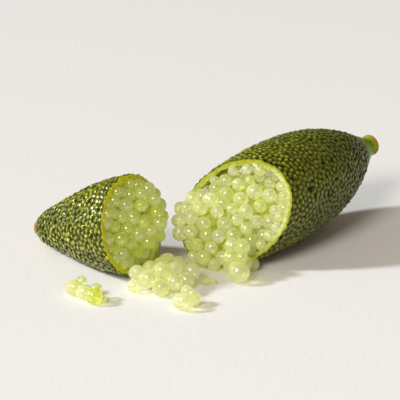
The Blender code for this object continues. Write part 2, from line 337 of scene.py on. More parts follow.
def letLightThrough(tree, shader, colour, look):
    # wet juice glows on the side away from the light and throws a lit, tinted shadow
    glowing = addNode(tree, "ShaderNodeBsdfTranslucent", {"Color": colour})
    clear = addNode(tree, "ShaderNodeBsdfTransparent", {"Color": (*look["shadowTint"], 1)})
    shadowRay = addNode(tree, "ShaderNodeLightPath").outputs["Is Shadow Ray"]
    passing = addMath(tree, "MULTIPLY", shadowRay, look["shadowLight"])
    surface = shader
    for share, other in ((look["through"], glowing), (passing, clear)):
        surface = addNode(
            tree, "ShaderNodeMixShader", {0: share, 1: surface.outputs[0], 2: other.outputs[0]}
        )
    tree.links.new(surface.outputs[0], tree.nodes["Material Output"].inputs["Surface"])


def buildPearlMaterial(look):
    made, tree, shader = newMaterial("juicePearl", {
        "Roughness": look["roughness"], "IOR": 1.36, "Transmission Weight": look["clear"],
        "Subsurface Weight": 1.0, "Subsurface Radius": (1.0, 1.0, 0.5), "Subsurface Scale": 0.0025,
        "Coat Weight": 1.0, "Coat Roughness": 0.05, "Coat IOR": 2.0,
        "Emission Strength": look["paintedGlow"],
    })
    clouds = addCloud(tree, look["patchSize"], low=0.3, high=0.7)
    patches = addMath(tree, "MULTIPLY", clouds, look["patches"])
    blend = addMath(tree, "ADD", readAttribute(tree, "tone"), patches, clamp=True)
    colour = addMix(tree, blend, look["milky"], look["green"])
    tree.links.new(colour, shader.inputs["Base Color"])
    # painted glow: the pearl's colour is given off as light
    tree.links.new(colour, shader.inputs["Emission Color"])
    letLightThrough(tree, shader, colour, look)
    return made


fleshLook = {"deep": (0.50, 0.52, 0.12), "pale": (0.68, 0.70, 0.28), "patchSize": 2.0}


def buildFleshMaterial(look):
    made, tree, shader = newMaterial("deepFlesh", {
        "Roughness": 0.25, "IOR": 1.36, "Subsurface Weight": 0.7,
        "Subsurface Radius": (1.0, 1.0, 0.3), "Subsurface Scale": 0.0015,
    })
    colour = addMix(tree, addCloud(tree, look["patchSize"]), look["deep"], look["pale"])
    tree.links.new(colour, shader.inputs["Base Color"])
    return made


skin = buildSkinMaterial(skinLook)
rim = buildRimMaterial(rimLook)
pearl = buildPearlMaterial(pearlLook)
flesh = buildFleshMaterial(fleshLook)
print("materials ready")


# Each end: a point on the axis in the cut, the axis from the cut to the tip as heading and rise in
# degrees, the normal of the oblique cut, and (place, radius) points along the axis.
stemEnd = {
    "centre": Vector((6.4, -11.97, 9.5)),
    "heading": 47.4,
    "rise": 4.0,
    "cut": Vector((-0.257, -0.881, 0.396)).normalized(),
    "profile": (
        (-13, 8.5), (-8, 8.9), (0, 9.5), (6.8, 10.1), (13.6, 10.3),
        (20.4, 9.85), (26, 8.8), (31.7, 6.85), (36.8, 4.3), (40.7, 2.3),
    ),
    "tip": (
        (41.1, 2.14), (41.5, 2.02), (41.9, 2.05), (42.3, 2.16), (42.7, 2.2), (43.0, 2.1),
        (43.2, 1.8), (43.25, 1.4), (43.15, 1.0), (42.95, 0.6), (42.9, 0.3),
    ),
    "tipEnd": 42.9,
    "cavityEnd": ((33.5, 4.0), (35.2, 2.2)),
    "cavityStop": 35.6,
    "columns": 300,
    "rowStep": 0.225,
    "glandsFade": (34.0, 39.5),
    "neckFrom": (34.6, 38.8),
    "scarFrom": (41.9, 42.7),
    "seed": 5,
}
blossomEnd = {
    "centre": Vector((-12.92, -17.07, 9.73)),
    "heading": 143.7,
    "rise": -15.3,
    "cut": Vector((0.803, -0.554, 0.217)).normalized(),
    "profile": (
        (-8, 9.9), (-1.5, 9.75), (5.5, 8.75), (10.5, 7.4), (15.5, 5.65), (19.5, 4.2), (22.5, 2.9),
    ),
    "tip": (
        (23.2, 2.5), (23.8, 2.1), (24.3, 1.8), (24.8, 1.45),
        (25.1, 1.1), (25.2, 0.7), (25.15, 0.35),
    ),
    "tipEnd": 25.1,
    "cavityEnd": ((19.5, 2.3), (20.6, 1.2)),
    "cavityStop": 20.9,
    "columns": 280,
    "rowStep": 0.22,
    "glandsFade": (23.0, 25.0),
    "neckFrom": (99.0, 100.0),  # past its tip, because this end has no neck
    "scarFrom": (22.6, 24.4),
    "seed": 6,
}


def axisOf(end):
    heading, rise = math.radians(end["heading"]), math.radians(end["rise"])
    flat = math.cos(rise)
    return Vector((flat * math.cos(heading), flat * math.sin(heading), math.sin(rise)))


def turnOf(end):
    return Vector((0, 0, 1)).rotation_difference(axisOf(end)).to_matrix()


def ownCut(end):
    # the normal of the cut in the end's own frame, whose Z is the axis
    return turnOf(end).transposed() @ end["cut"]


def turnsOf(columns):
    return [fullTurn * i / columns for i in range(columns)]


def atTurn(radius, turn, place):
    return (radius * math.cos(turn), radius * math.sin(turn), place)


def radiusAt(profile, place):
    # a smooth curve through the profile's points
    if place <= profile[0][0]:
        return profile[0][1]
    if place >= profile[-1][0]:
        return profile[-1][1]
    last = len(profile) - 1
    first = max(i for i in range(last) if profile[i][0] <= place)
    slopes = []
    for i in (first, first + 1):
        low, high = profile[max(i - 1, 0)], profile[min(i + 1, last)]
        slopes.append((high[1] - low[1]) / (high[0] - low[0]))
    (x0, y0), (x1, y1) = profile[first], profile[first + 1]
    width = x1 - x0
    t = (place - x0) / width
    share = t * t * (3 - 2 * t)
    start = t * (1 - t) * (1 - t) * width * slopes[0]
    stop = t * t * (t - 1) * width * slopes[1]
    return y0 + (y1 - y0) * share + start + stop


def cutPlace(end, normal, turn, inset, shift=0.0, rounds=30):
    # where the line along the axis at this turn, inset from the skin, meets the cut plane
    lean = normal.x * math.cos(turn) + normal.y * math.sin(turn)
    place = 0.0
    for _ in range(rounds):
        radius = radiusAt(end["profile"], place) - inset
        place = (shift - lean * radius) / normal.z
    return place


def wavesAt(waves, turn, phase, seed):
    # waves are (how many round the fruit, height) pairs
    return sum(size * math.sin(count * turn + phase + seed * count) for count, size in waves)


def toLayout(end, rows):
    # rows of (x, y, place) in the end's own frame become points of the scene, in metres
    turn = np.array(turnOf(end))
    centre = np.array(end["centre"] - layoutMiddle)
    return (np.array(rows) @ turn.T + centre) * mm


def closedSkin(columns, rowCount):
    # faces of a closed tube of rows with a point at each end
    faces = []
    for row in range(rowCount - 1):
        for i in range(columns):
            k = (i + 1) % columns
            a, b = row * columns, (row + 1) * columns
            faces.append((a + i, a + k, b + k, b + i))
    first, last = rowCount * columns, rowCount * columns + 1
    for i in range(columns):
        k = (i + 1) % columns
        faces.append((first, k, i))
        faces.append((last, (rowCount - 1) * columns + i, (rowCount - 1) * columns + k))
    return faces


def ease(low, high, value):
    t = np.clip((value - low) / (high - low), 0, 1)
    return t * t * (3 - 2 * t)


rindForm = {
    "pithShare": 0.95,  # of the wall, with uneven pith round the fruit
    "pithWaves": ((5, 0.09), (11, 0.07), (23, 0.05), (41, 0.03)),
    "cutWaves": ((13, 0.04), (31, 0.03), (47, 0.03), (83, 0.03)),  # the cut isn't quite straight
    "rimShares": (0.0, 0.08, 0.16, 0.3, 0.45, 0.6, 0.75, 0.9, 1.0),  # the rows across the rim
    "rimSkin": 0.2,  # the share of the rim on which the glands fade out
    "insideRows": 14,
    "insidePower": 1.4,  # the rows inside are closest near the cut
    "depthStep": 0.25,  # by which cutDepth grows from row to row inside
    "skinDepth": -1.0,  # cutDepth on the skin, 0 to 1 across the rim
    "lastDepth": 5.0,  # and at the bottom of the cup
    "rimDepth": -0.45,  # a face with a greater cutDepth is rim or inside
}


def buildRind(name, end, look):
    # from the tip's point along the skin to the cut, across the rim and down inside
    normal, profile, columns, seed = ownCut(end), end["profile"], end["columns"], end["seed"]
    stop = profile[-1][0]
    turns = turnsOf(columns)
    walls = [
        wall * (look["pithShare"] + wavesAt(look["pithWaves"], turn, 0, seed)) for turn in turns
    ]
    outerCut = [
        cutPlace(end, normal, turn, 0, wavesAt(look["cutWaves"], turn, 0, seed)) for turn in turns
    ]
    innerCut = [
        cutPlace(end, normal, turn, depth, wavesAt(look["cutWaves"], turn, 2, seed))
        for turn, depth in zip(turns, walls)
    ]
    rowCount = int((stop - min(outerCut)) / end["rowStep"])
    rows, glandShare, cutDepth, outward, along = [], [], [], [], []

    def addRow(places, radii, share, depth):
        for turn, place, radius in zip(turns, places, radii):
            rows.append(atTurn(radius, turn, place))
            outward.append(atTurn(1.0, turn, 0.0))
        glandShare.extend([share] * columns)
        cutDepth.extend([depth] * columns)
        along.extend(places)

    def outerRadii(places):
        return [radiusAt(profile, place) for place in places]

    def innerRadii(places):
        return [radiusAt(profile, place) - depth for place, depth in zip(places, walls)]

    for place, radius in reversed(end["tip"]):
        addRow([place] * columns, [radius] * columns, 1.0, look["skinDepth"])
    for row in range(rowCount + 1):
        share = 1 - row / rowCount
        places = [low + (stop - low) * share for low in outerCut]
        addRow(places, outerRadii(places), 1.0, look["skinDepth"])
    for share in look["rimShares"]:
        places = [a + (b - a) * share for a, b in zip(outerCut, innerCut)]
        pairs = zip(outerRadii(outerCut), innerRadii(innerCut))
        radii = [a + (b - a) * share for a, b in pairs]
        addRow(places, radii, max(0.0, 1 - share / look["rimSkin"]), share)
    cupStop = end["cavityEnd"][0][0] - 1
    for row in range(1, look["insideRows"]):
        share = (row / look["insideRows"]) ** look["insidePower"]
        places = [low + (cupStop - low) * share for low in innerCut]
        addRow(places, innerRadii(places), 0.0, 1 + row * look["depthStep"])
    for place, radius in end["cavityEnd"]:
        addRow([place] * columns, [radius] * columns, 0.0, look["lastDepth"])
    rowTotal = len(rows) // columns

    # the two points that close the skin, at the tip and at the bottom of the cup
    rows.extend([(0, 0, end["tipEnd"]), (0, 0, end["cavityStop"])])
    outward.extend([(0, 0, 1), (0, 0, -1)])
    glandShare.extend([1.0, 0.0])
    cutDepth.extend([look["skinDepth"], look["lastDepth"]])
    along.extend([end["tipEnd"], end["cavityStop"]])

    points = toLayout(end, rows)
    points[:, 2] = np.maximum(points[:, 2], 0)
    along, glandShare = np.array(along), np.array(glandShare)
    onSkin = glandShare > 0.5
    attributes = {
        "skinShare": (1 - ease(*end["glandsFade"], along)) * glandShare,  # where glands are raised
        "cutDepth": cutDepth,
        "outward": np.array(outward) @ np.array(turnOf(end)).T,
        "neck": ease(*end["neckFrom"], along) * onSkin,
        "scar": ease(*end["scarFrom"], along) * onSkin,
    }
    return meshObject(name, points, closedSkin(columns, rowTotal), attributes)


glandLook = {
    "pitch": 1.16,
    "height": 0.44,
    "reach": 0.68,
    "warp": 0.7,
    "unevenness": 0.45,
    "jitter": 0.33,
    "start": -12.0,  # the place of the first ring
    "ringStep": 0.87,  # from ring to ring, in pitches
    "fewest": 6,
    "pastCut": 0.8,  # no gland starts farther past the cut than this
    "rounds": 14,
    "crowding": 1.15,  # glands nearer than this, in pitches, push each other away
    "push": 0.22,
}


def relaxed(spots, look):
    # crowded neighbours push each other away until the spacing is even
    spots = [spot.copy() for spot in spots]
    room = look["pitch"] * look["crowding"]
    for _ in range(look["rounds"]):
        tree = KDTree(len(spots))
        for index, spot in enumerate(spots):
            tree.insert(spot, index)
        tree.balance()
        pushes = []
        for index, spot in enumerate(spots):
            push = Vector((0, 0, 0))
            for other, found, away in tree.find_range(spot, room):
                if found != index and away > 0.001:
                    push += (spot - other) / away * (room - away)
            pushes.append(push)
        for spot, push in zip(spots, pushes):
            spot += push * look["push"]
    return spots


def glandPoints(name, end, look):
    # oil glands in staggered rings round the fruit, each a little out of place
    draw = random.Random(end["seed"])
    normal, profile, pitch = ownCut(end), end["profile"], look["pitch"]
    spots, vigour = [], []
    place, ring = look["start"], 0
    while place < end["tipEnd"]:
        count = max(look["fewest"], round(fullTurn * radiusAt(profile, place) / pitch))
        stagger = 0.5 * (ring % 2)
        for i in range(count):
            turn = fullTurn * (i + stagger + draw.gauss(0, look["jitter"])) / count
            height = place + draw.gauss(0, look["jitter"]) * pitch
            spot = Vector(atTurn(radiusAt(profile, height), turn, height))
            if normal.dot(spot) < look["pastCut"]:
                spots.append(spot)
                vigour.append(draw.uniform(0, 1))
        place += pitch * look["ringStep"]
        ring += 1
    spots = relaxed(spots, look)
    for spot in spots:
        # back onto the skin
        flat = math.hypot(spot.x, spot.y)
        size = radiusAt(profile, spot.z)
        spot.x, spot.y = spot.x * size / flat, spot.y * size / flat
    return meshObject(name, toLayout(end, spots), [], {"strength": vigour})


def readStored(tree, label, kind="FLOAT"):
    made = addNode(tree, "GeometryNodeInputNamedAttribute", {"Name": label}, data_type=kind)
    return made.outputs["Attribute"]


def readPosition(tree):
    return addNode(tree, "GeometryNodeInputPosition").outputs[0]


def addVectors(tree, operation, first, second):
    inputs = {0: first, ("Scale" if operation == "SCALE" else 1): second}
    return addNode(tree, "ShaderNodeVectorMath", inputs, operation=operation).outputs[0]


def noiseShift(tree, size, amount, detail):
    # a shift that changes softly from place to place
    noise = addNode(
        tree, "ShaderNodeTexNoise",
        {"Vector": readPosition(tree), "Scale": addMath(tree, "DIVIDE", 1.0, size),
         "Detail": detail},
    )
    middled = addVectors(tree, "SUBTRACT", noise.outputs["Color"], (0.5, 0.5, 0.5))
    return addVectors(tree, "SCALE", middled, amount)


def restOnTable(tree, geometry):
    # what would reach below the table is pressed flat on it
    spot = addNode(tree, "ShaderNodeSeparateXYZ", {0: readPosition(tree)}).outputs
    height = addMath(tree, "MAXIMUM", spot["Z"], 0.0)
    onTable = addNode(tree, "ShaderNodeCombineXYZ", {"X": spot["X"], "Y": spot["Y"], "Z": height})
    return addNode(
        tree, "GeometryNodeSetPosition", {"Geometry": geometry, "Position": onTable.outputs[0]}
    ).outputs[0]


def buildGlandTree(look):
    tree = newTree(
        "oilGlands", "GeometryNodeTree",
        [("Geometry", "NodeSocketGeometry", None), ("Glands", "NodeSocketObject", None),
         ("Height", "NodeSocketFloat", 0.0002), ("Reach", "NodeSocketFloat", 0.0008),
         ("Unevenness", "NodeSocketFloat", 0.5), ("Warp", "NodeSocketFloat", 0.0),
         ("Skin", "NodeSocketMaterial", None), ("Rim", "NodeSocketMaterial", None)],
        [("Geometry", "NodeSocketGeometry", None)],
    )
    given = addNode(tree, "NodeGroupInput").outputs
    spots = addNode(tree, "GeometryNodeObjectInfo", {"Object": given["Glands"]}).outputs["Geometry"]
    warp = noiseShift(tree, given["Reach"], given["Warp"], 1.0)
    warped = addVectors(tree, "ADD", readPosition(tree), warp)
    near = addNode(
        tree, "GeometryNodeProximity", {0: spots, "Sample Position": warped},
        target_element="POINTS",
    )
    away = addMath(tree, "DIVIDE", near.outputs["Distance"], given["Reach"])
    dome = addMath(tree, "SUBTRACT", 1.0, addMath(tree, "MULTIPLY", away, away), clamp=True)
    nearest = addNode(
        tree, "GeometryNodeSampleNearest", {"Geometry": spots, "Sample Position": warped},
        domain="POINT",
    )
    vigour = addNode(
        tree, "GeometryNodeSampleIndex",
        {"Geometry": spots, "Value": readStored(tree, "strength"),
         "Index": nearest.outputs["Index"]},
        data_type="FLOAT", domain="POINT",
    ).outputs["Value"]
    gland = addMath(tree, "MULTIPLY", dome, readStored(tree, "skinShare"))
    less = addMath(tree, "MULTIPLY", addMath(tree, "SUBTRACT", 1.0, vigour), given["Unevenness"])
    lift = addMath(tree, "MULTIPLY", addMath(tree, "SUBTRACT", 1.0, less), gland)
    lift = addMath(tree, "MULTIPLY", lift, given["Height"])
    offset = addVectors(tree, "SCALE", readStored(tree, "outward", "FLOAT_VECTOR"), lift)
    raised = addNode(
        tree, "GeometryNodeSetPosition", {"Geometry": given["Geometry"], "Offset": offset}
    )
    kept = restOnTable(tree, raised.outputs[0])
    for label, value in (("gland", gland), ("vigour", vigour)):
        kept = addNode(
            tree, "GeometryNodeStoreNamedAttribute",
            {"Geometry": kept, "Name": label, "Value": value}, data_type="FLOAT", domain="POINT",
        ).outputs[0]
    smooth = addNode(tree, "GeometryNodeSetShadeSmooth", {"Geometry": kept})
    real = addNode(tree, "GeometryNodeRealizeInstances", {"Geometry": smooth.outputs[0]})
    skinned = addNode(
        tree, "GeometryNodeSetMaterial", {"Geometry": real.outputs[0], "Material": given["Skin"]}
    )
    onRim = addNode(
        tree, "FunctionNodeCompare", {0: readStored(tree, "cutDepth"), 1: look["rimDepth"]},
        data_type="FLOAT", operation="GREATER_THAN",
    )
    rimmed = addNode(
        tree, "GeometryNodeSetMaterial",
        {"Geometry": skinned.outputs[0], "Selection": onRim.outputs[0], "Material": given["Rim"]},
    )
    addNode(tree, "NodeGroupOutput", {"Geometry": rimmed.outputs[0]})
    return tree


glandTree = buildGlandTree(rindForm)


def finishRind(name, node, end, look):
    spots = glandPoints(name + "Glands", end, look)
    made = growWith(
        buildRind(name, end, rindForm), glandTree,
        {"Glands": spots, "Height": look["height"] * mm, "Reach": look["reach"] * mm,
         "Unevenness": look["unevenness"], "Warp": look["warp"] * mm, "Skin": skin, "Rim": rim},
    )
    bpy.data.objects.remove(spots)
    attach(made, "root")
    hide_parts(node)
    print(name, len(made.data.polygons), "faces")


finishRind("stemRind", "rind_stem_end", stemEnd, glandLook)
finishRind("blossomRind", "rind_blossom_end", blossomEnd, glandLook)


packing = {
    "overlap": 0.88,  # how close pearls sit, as a share of their two radii
    "clearance": 0.3,  # from the pearls of other pieces
    "throws": 1200,
    "restDepth": 0.08,
    "lowest": -1,  # a throw that lands lower is dropped
    "buried": 0.95,  # and so is one that is inside this share of another lobe
    "deepest": -2.8,
    "overCut": 0.7,  # a pearl this far over the cut, in its own radii, is clear of the end
    "overSkin": 0.9,  # and so is one this far outside the skin
    "fromWall": 0.6,  # the others keep this far from the wall
}


class Lobe:
    # an ellipsoid that pearls are scattered over, with its third axis along a normal

    def __init__(self, centre, radii, normal=(0, 0, 1), along=(1, 0, 0)):
        third = Vector(normal).normalized()
        first = (Vector(along) - Vector(along).dot(third) * third).normalized()
        self.centre = Vector(centre)
        self.radii = Vector(radii)
        self.turn = Matrix((first, third.cross(first), third)).transposed()

    def point(self, direction):
        return self.centre + self.turn @ Vector(r * d for r, d in zip(self.radii, direction))

    def depth(self, spot):
        local = self.turn.transposed() @ (spot - self.centre)
        return math.sqrt(sum((v / r) ** 2 for v, r in zip(local, self.radii)))

    def area(self):
        # close to the surface of an ellipsoid, but for a factor that all lobes share
        power = 1.6
        a, b, c = self.radii
        return (((a * b) ** power + (a * c) ** power + (b * c) ** power) / 3) ** (1 / power)

    def drawnIn(self, depth):
        # the same lobe, smaller by depth each way
        made = Lobe(self.centre, [max(r - depth, 0.5) for r in self.radii])
        made.turn = self.turn
        return made


def inPlane(end, right, up, out):
    # right and up as one looks at the cut face, and out of it
    normal = end["cut"]
    upward = (Vector((0, 0, 1)) - normal.z * normal).normalized()
    return end["centre"] + upward.cross(normal) * right + upward * up + normal * out


def noRoom(spot, size, end, deepest):
    # pressed into the wall of one end, or out of sight deep in it
    offset = spot - end["centre"]
    place = offset.dot(axisOf(end))
    height = offset.dot(end["cut"])
    radius = (offset - place * axisOf(end)).length
    outside = radiusAt(end["profile"], place)
    if height > packing["overCut"] * size or radius > outside + packing["overSkin"] * size:
        return False
    return radius > outside - wall - packing["fromWall"] * size or height < deepest


def throw(draw, lobes, weights, sizes):
    lobe = draw.choices(lobes, weights)[0]
    spot = lobe.point(Vector([draw.gauss(0, 1) for _ in range(3)]).normalized())
    size = draw.uniform(*sizes)
    inOther = any(o is not lobe and o.depth(spot) < packing["buried"] for o in lobes)
    dropped = spot.z < packing["lowest"] or inOther
    spot.z = max(spot.z, size - packing["restDepth"])
    return spot, size, dropped


def scatter(lobes, sizes, seed, taken, others, deepest=packing["deepest"]):
    # of many throws that find room, the snuggest is kept each time
    draw = random.Random(seed)
    weights = [lobe.area() for lobe in lobes]
    kept = list(taken)
    while True:
        best = None
        for _ in range(packing["throws"]):
            spot, size, dropped = throw(draw, lobes, weights, sizes)
            if dropped or any(noRoom(spot, size, end, deepest) for end in (stemEnd, blossomEnd)):
                continue
            if any((spot - p).length < size + s + packing["clearance"] for p, s in others):
                continue
            gaps = sorted((spot - p).length / (size + s) for p, s in kept)
            if gaps and gaps[0] < packing["overlap"]:
                continue
            snug = sum(gaps[:3])
            if best is None or snug < best[0]:
                best = (snug, spot, size)
        if best is None:
            return kept
        kept.append(best[1:])


wallPacking = {
    "sizes": (0.95, 1.3),
    "tries": 900,
    "depths": (-1.5, 0.0),  # from the cut plane
    "inset": 0.65,  # from the wall, as a share of the radius
    "overlap": 0.72,
}


def alongWall(end, seed, kept, look):
    # pearls that fill the gap between the others and the wall, in the mouth of one end
    draw = random.Random(seed)
    normal = ownCut(end)
    kept = list(kept)
    for _ in range(look["tries"]):
        turn = draw.uniform(0, fullTurn)
        size = draw.uniform(*look["sizes"])
        depth = draw.uniform(*look["depths"])
        inset = wall + look["inset"] * size
        place = cutPlace(end, normal, turn, inset, depth)
        local = Vector(atTurn(radiusAt(end["profile"], place) - inset, turn, place))
        spot = turnOf(end) @ local + end["centre"]
        tooClose = any((spot - p).length < look["overlap"] * (size + s) for p, s in kept)
        if spot.z >= size and not tooClose:
            kept.append((spot, size))
    return kept


stemLongWay = axisOf(stemEnd) - axisOf(stemEnd).dot(stemEnd["cut"]) * stemEnd["cut"]
stemLobes = [
    Lobe(inPlane(stemEnd, 0, 0, -2.4), (10.6, 8.3, 2.0), stemEnd["cut"], stemLongWay),
    Lobe(inPlane(stemEnd, -1.2, -2.2, -0.6), (6.6, 5.6, 2.6), stemEnd["cut"], stemLongWay),
    Lobe((0.5, -11.2, 7.8), (5.0, 3.8, 5.6)),
    Lobe((3.4, -14.6, 3.6), (5.2, 2.8, 3.6)),
    Lobe((6.9, -17.6, 3.2), (2.2, 2.6, 2.4)),
]
blossomLobes = [
    Lobe(inPlane(blossomEnd, 0, 0, -1.8), (8.6, 8.6, 2.3), blossomEnd["cut"]),
    Lobe(inPlane(blossomEnd, 3.4, 0.6, 0.2), (6.2, 4.4, 3.0), blossomEnd["cut"], (0, 0, 1)),
]
heapLobes = [
    Lobe((-8.0, -25.0, 0.9), (5.4, 3.6, 3.4)),
    Lobe((-6.2, -20.6, 1.0), (3.0, 2.2, 2.6)),
    Lobe((-2.2, -21.6, 0.9), (2.0, 1.8, 1.4)),
]
# Pearls given one by one, each a spot and a radius.
cascade = (
    ((7.45, -22.0, 2.05), 2.1), ((5.9, -20.2, 4.2), 1.4), ((7.9, -20.3, 4.2), 1.45),
    ((6.2, -18.0, 5.6), 1.4), ((8.1, -18.0, 5.5), 1.45), ((10.2, -16.6, 1.3), 1.35),
)
frontPearls = (
    ((-3.1, -34.6, 1.58), 1.68), ((-1.1, -32.7, 1.3), 1.35), ((-2.5, -32.2, 2.6), 1.15),
)
leftPearls = (
    ((-23.8, -28.2, 1.45), 1.55), ((-22.5, -26.9, 2.1), 1.1), ((-21.9, -30.0, 1.4), 1.5),
    ((-20.0, -32.0, 1.5), 1.6), ((-19.5, -30.2, 2.0), 1.15), ((-18.3, -31.6, 0.7), 0.78),
)
leftTones = (0.4, 0.2, 0.15, 0.95, 0.3, 0.3)


def asPearls(rows):
    return [(Vector(spot), size) for spot, size in rows]


def buildPearlTree():
    tree = newTree(
        "roundPearls", "GeometryNodeTree",
        [("Geometry", "NodeSocketGeometry", None), ("Fineness", "NodeSocketInt", 4),
         ("Wobble", "NodeSocketFloat", 0.00008), ("Wobble Size", "NodeSocketFloat", 0.002),
         ("Seed", "NodeSocketInt", 1), ("Material", "NodeSocketMaterial", None)],
        [("Geometry", "NodeSocketGeometry", None)],
    )
    given = addNode(tree, "NodeGroupInput").outputs
    ball = addNode(
        tree, "GeometryNodeMeshIcoSphere", {"Radius": 1.0, "Subdivisions": given["Fineness"]}
    )
    turn = addNode(
        tree, "FunctionNodeRandomValue", {"Seed": given["Seed"]}, data_type="FLOAT_VECTOR"
    )
    turn.inputs[1].default_value = (6.28, 6.28, 6.28)  # the greatest turn about each axis
    placed = addNode(
        tree, "GeometryNodeInstanceOnPoints",
        {"Points": given["Geometry"], "Instance": ball.outputs["Mesh"],
         "Rotation": turn.outputs["Value"], "Scale": readStored(tree, "size")},
    )
    real = addNode(tree, "GeometryNodeRealizeInstances", {"Geometry": placed.outputs[0]})
    wobble = noiseShift(tree, given["Wobble Size"], given["Wobble"], 0.0)
    uneven = addNode(
        tree, "GeometryNodeSetPosition", {"Geometry": real.outputs[0], "Offset": wobble}
    )
    smooth = addNode(
        tree, "GeometryNodeSetShadeSmooth", {"Geometry": restOnTable(tree, uneven.outputs[0])}
    )
    done = addNode(
        tree, "GeometryNodeSetMaterial",
        {"Geometry": smooth.outputs[0], "Material": given["Material"]},
    )
    addNode(tree, "NodeGroupOutput", {"Geometry": done.outputs[0]})
    return tree


pearlTree = buildPearlTree()


def stretchFirst(made, count, share):
    # the first pearl, of so many corners, is longer than wide
    spots = [made.data.vertices[i].co for i in range(count)]
    middle = sum(spot.x for spot in spots) / count
    for spot in spots:
        spot.x = middle + (spot.x - middle) * share


pearlForm = {
    "swell": 1.02,
    "unevenAbove": 3.0,  # only pearls above this height are made uneven in size
    "unevenness": (0.9, 1.17),
    "paintedLowShadeBelow": 9.0,  # and those below this one are painted greener towards the table: painted shade
    "wobble": 0.16,
    "wobbleSize": 2.2,
    "stretch": 1.28,  # of the long pearl in front
}


def roundPearls(name, pearls, fineness, seed, tones, paintedLowShade=0.0, look=pearlForm):
    # tones is a range, or a tone for each pearl, and low pearls are painted greener by up to the
    # given amount: painted shade near the table
    draw = random.Random(seed)
    spots = [(spot - layoutMiddle) * mm for spot, _ in pearls]
    tone = [draw.uniform(*tones) for _ in pearls] if len(tones) == 2 else list(tones)
    sizes = [size * look["swell"] * mm for _, size in pearls]
    for index, (spot, _) in enumerate(pearls):
        if spot.z > look["unevenAbove"]:
            sizes[index] *= draw.uniform(*look["unevenness"])
        # painted shade: the lower a pearl, the greener its tone
        tone[index] += paintedLowShade * max(0.0, 1 - spot.z / look["paintedLowShadeBelow"])
    points = meshObject(name, spots, [], {"size": sizes, "tone": tone})
    return growWith(
        points, pearlTree,
        {"Fineness": fineness, "Wobble": look["wobble"] * mm,
         "Wobble Size": look["wobbleSize"] * mm, "Seed": seed, "Material": pearl},
    )


def joined(name, items):
    # the first object takes in the others' meshes
    with bpy.context.temp_override(active_object=items[0], selected_editable_objects=items):
        bpy.ops.object.join()
    items[0].name = name
    items[0].data.name = name
    return items[0]


def coreOf(name, lobes, depth):
    # the flesh behind the pearls, a plain mass of the lobes drawn in
    form = bmesh.new()
    for lobe in lobes:
        radii = [max(r - depth, 0.4) for r in lobe.radii]
        place = Matrix.Translation((lobe.centre - layoutMiddle) * mm)
        stretch = Matrix.Diagonal((*(Vector(radii) * mm), 1))
        bmesh.ops.create_icosphere(
            form, subdivisions=3, radius=1, matrix=place @ lobe.turn.to_4x4() @ stretch
        )
    mesh = bpy.data.meshes.new(name)
    form.to_mesh(mesh)
    form.free()
    mesh.shade_smooth()
    mesh.materials.append(flesh)
    return addObject(name, mesh)


def turnedOut(made, material):
    # closedSkin gives these forms faces that point inwards
    made.data.flip_normals()
    made.data.shade_smooth()
    made.data.materials.append(material)
    return made


plugForm = {
    "columns": 96,
    "inset": 0.05,  # from the pith
    "faceShares": (0.15, 0.35, 0.55, 0.75, 0.9, 1.0),  # the rows from the middle to the edge
    "sideShares": (0.2, 0.4, 0.6, 0.8, 1.0),  # and from there down the cup
}


def plugOf(name, end, depth, look=plugForm):
    # packed flesh that fills a cup up to a plane behind the cut
    normal, profile, columns = ownCut(end), end["profile"], look["columns"]
    turns = turnsOf(columns)
    inset = wall + look["inset"]
    edge = [cutPlace(end, normal, turn, inset, -depth) for turn in turns]
    centre = -depth / normal.z
    stop = end["cavityEnd"][0][0] - 2
    rows = []
    for share in look["faceShares"]:
        for turn, place in zip(turns, edge):
            radius = (radiusAt(profile, place) - inset) * share
            rows.append(atTurn(radius, turn, centre + (place - centre) * share))
    for share in look["sideShares"]:
        for turn, place in zip(turns, edge):
            deeper = place + (stop - place) * share
            rows.append(atTurn(radiusAt(profile, deeper) - inset, turn, deeper))
    rowCount = len(rows) // columns
    rows.extend([(0, 0, centre), (0, 0, stop + 0.5)])
    return turnedOut(meshObject(name, toLayout(end, rows), closedSkin(columns, rowCount)), flesh)


def finishPearls(made, node):
    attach(made, "root")
    if node:
        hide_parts(node)
    triangles = sum(len(face.vertices) - 2 for face in made.data.polygons)
    print(made.name, triangles, "triangles")


outerStem = scatter(stemLobes, (1.15, 1.5), 11, asPearls(cascade), [])
outerStem = alongWall(stemEnd, 61, outerStem, wallPacking)
outerBlossom = scatter(blossomLobes, (1.1, 1.4), 23, [], outerStem)
outerBlossom = alongWall(blossomEnd, 62, outerBlossom, wallPacking)
outerHeap = scatter(heapLobes, (1.3, 1.75), 37, [], outerStem + outerBlossom)


def underLayer(lobes, drawIn, seed, outer, deepest):
    # the pearls that show between those of the outer layer
    lobes = [lobe.drawnIn(drawIn) for lobe in lobes]
    return scatter(lobes, (1.1, 1.4), seed, outer, [], deepest)[len(outer):]


innerStem = underLayer(stemLobes, 1.9, 51, outerStem, -5.5)
innerBlossom = underLayer(blossomLobes, 1.7, 52, outerBlossom, -5.0)
layers = (outerStem, innerStem, outerBlossom, innerBlossom, outerHeap)
print("pearls placed:", *[len(layer) for layer in layers])

stemPearls = joined("stemPearls", [
    roundPearls("stemPearls", outerStem, 3, 1, (0.0, 0.42), paintedLowShade=0.25),
    roundPearls("innerStem", innerStem, 2, 2, (0.5, 1.0)),
    plugOf("stemPlug", stemEnd, 2.9),
    coreOf("stemCore", stemLobes[2:4], 3.2),
])
blossomPearls = joined("blossomPearls", [
    roundPearls("blossomPearls", outerBlossom, 3, 3, (0.4, 0.9)),
    roundPearls("innerBlossom", innerBlossom, 2, 4, (0.5, 1.0)),
    plugOf("blossomPlug", blossomEnd, 2.6),
])
heapPearls = joined("heapPearls", [
    roundPearls("heapPearls", outerHeap, 4, 5, (0.0, 0.4)),
    coreOf("heapCore", heapLobes[:1], 2.6),
])
frontCluster = roundPearls("frontCluster", asPearls(frontPearls), 4, 6, (0.0, 0.2))
corners = len(frontCluster.data.vertices) // len(frontPearls)
stretchFirst(frontCluster, corners, pearlForm["stretch"])
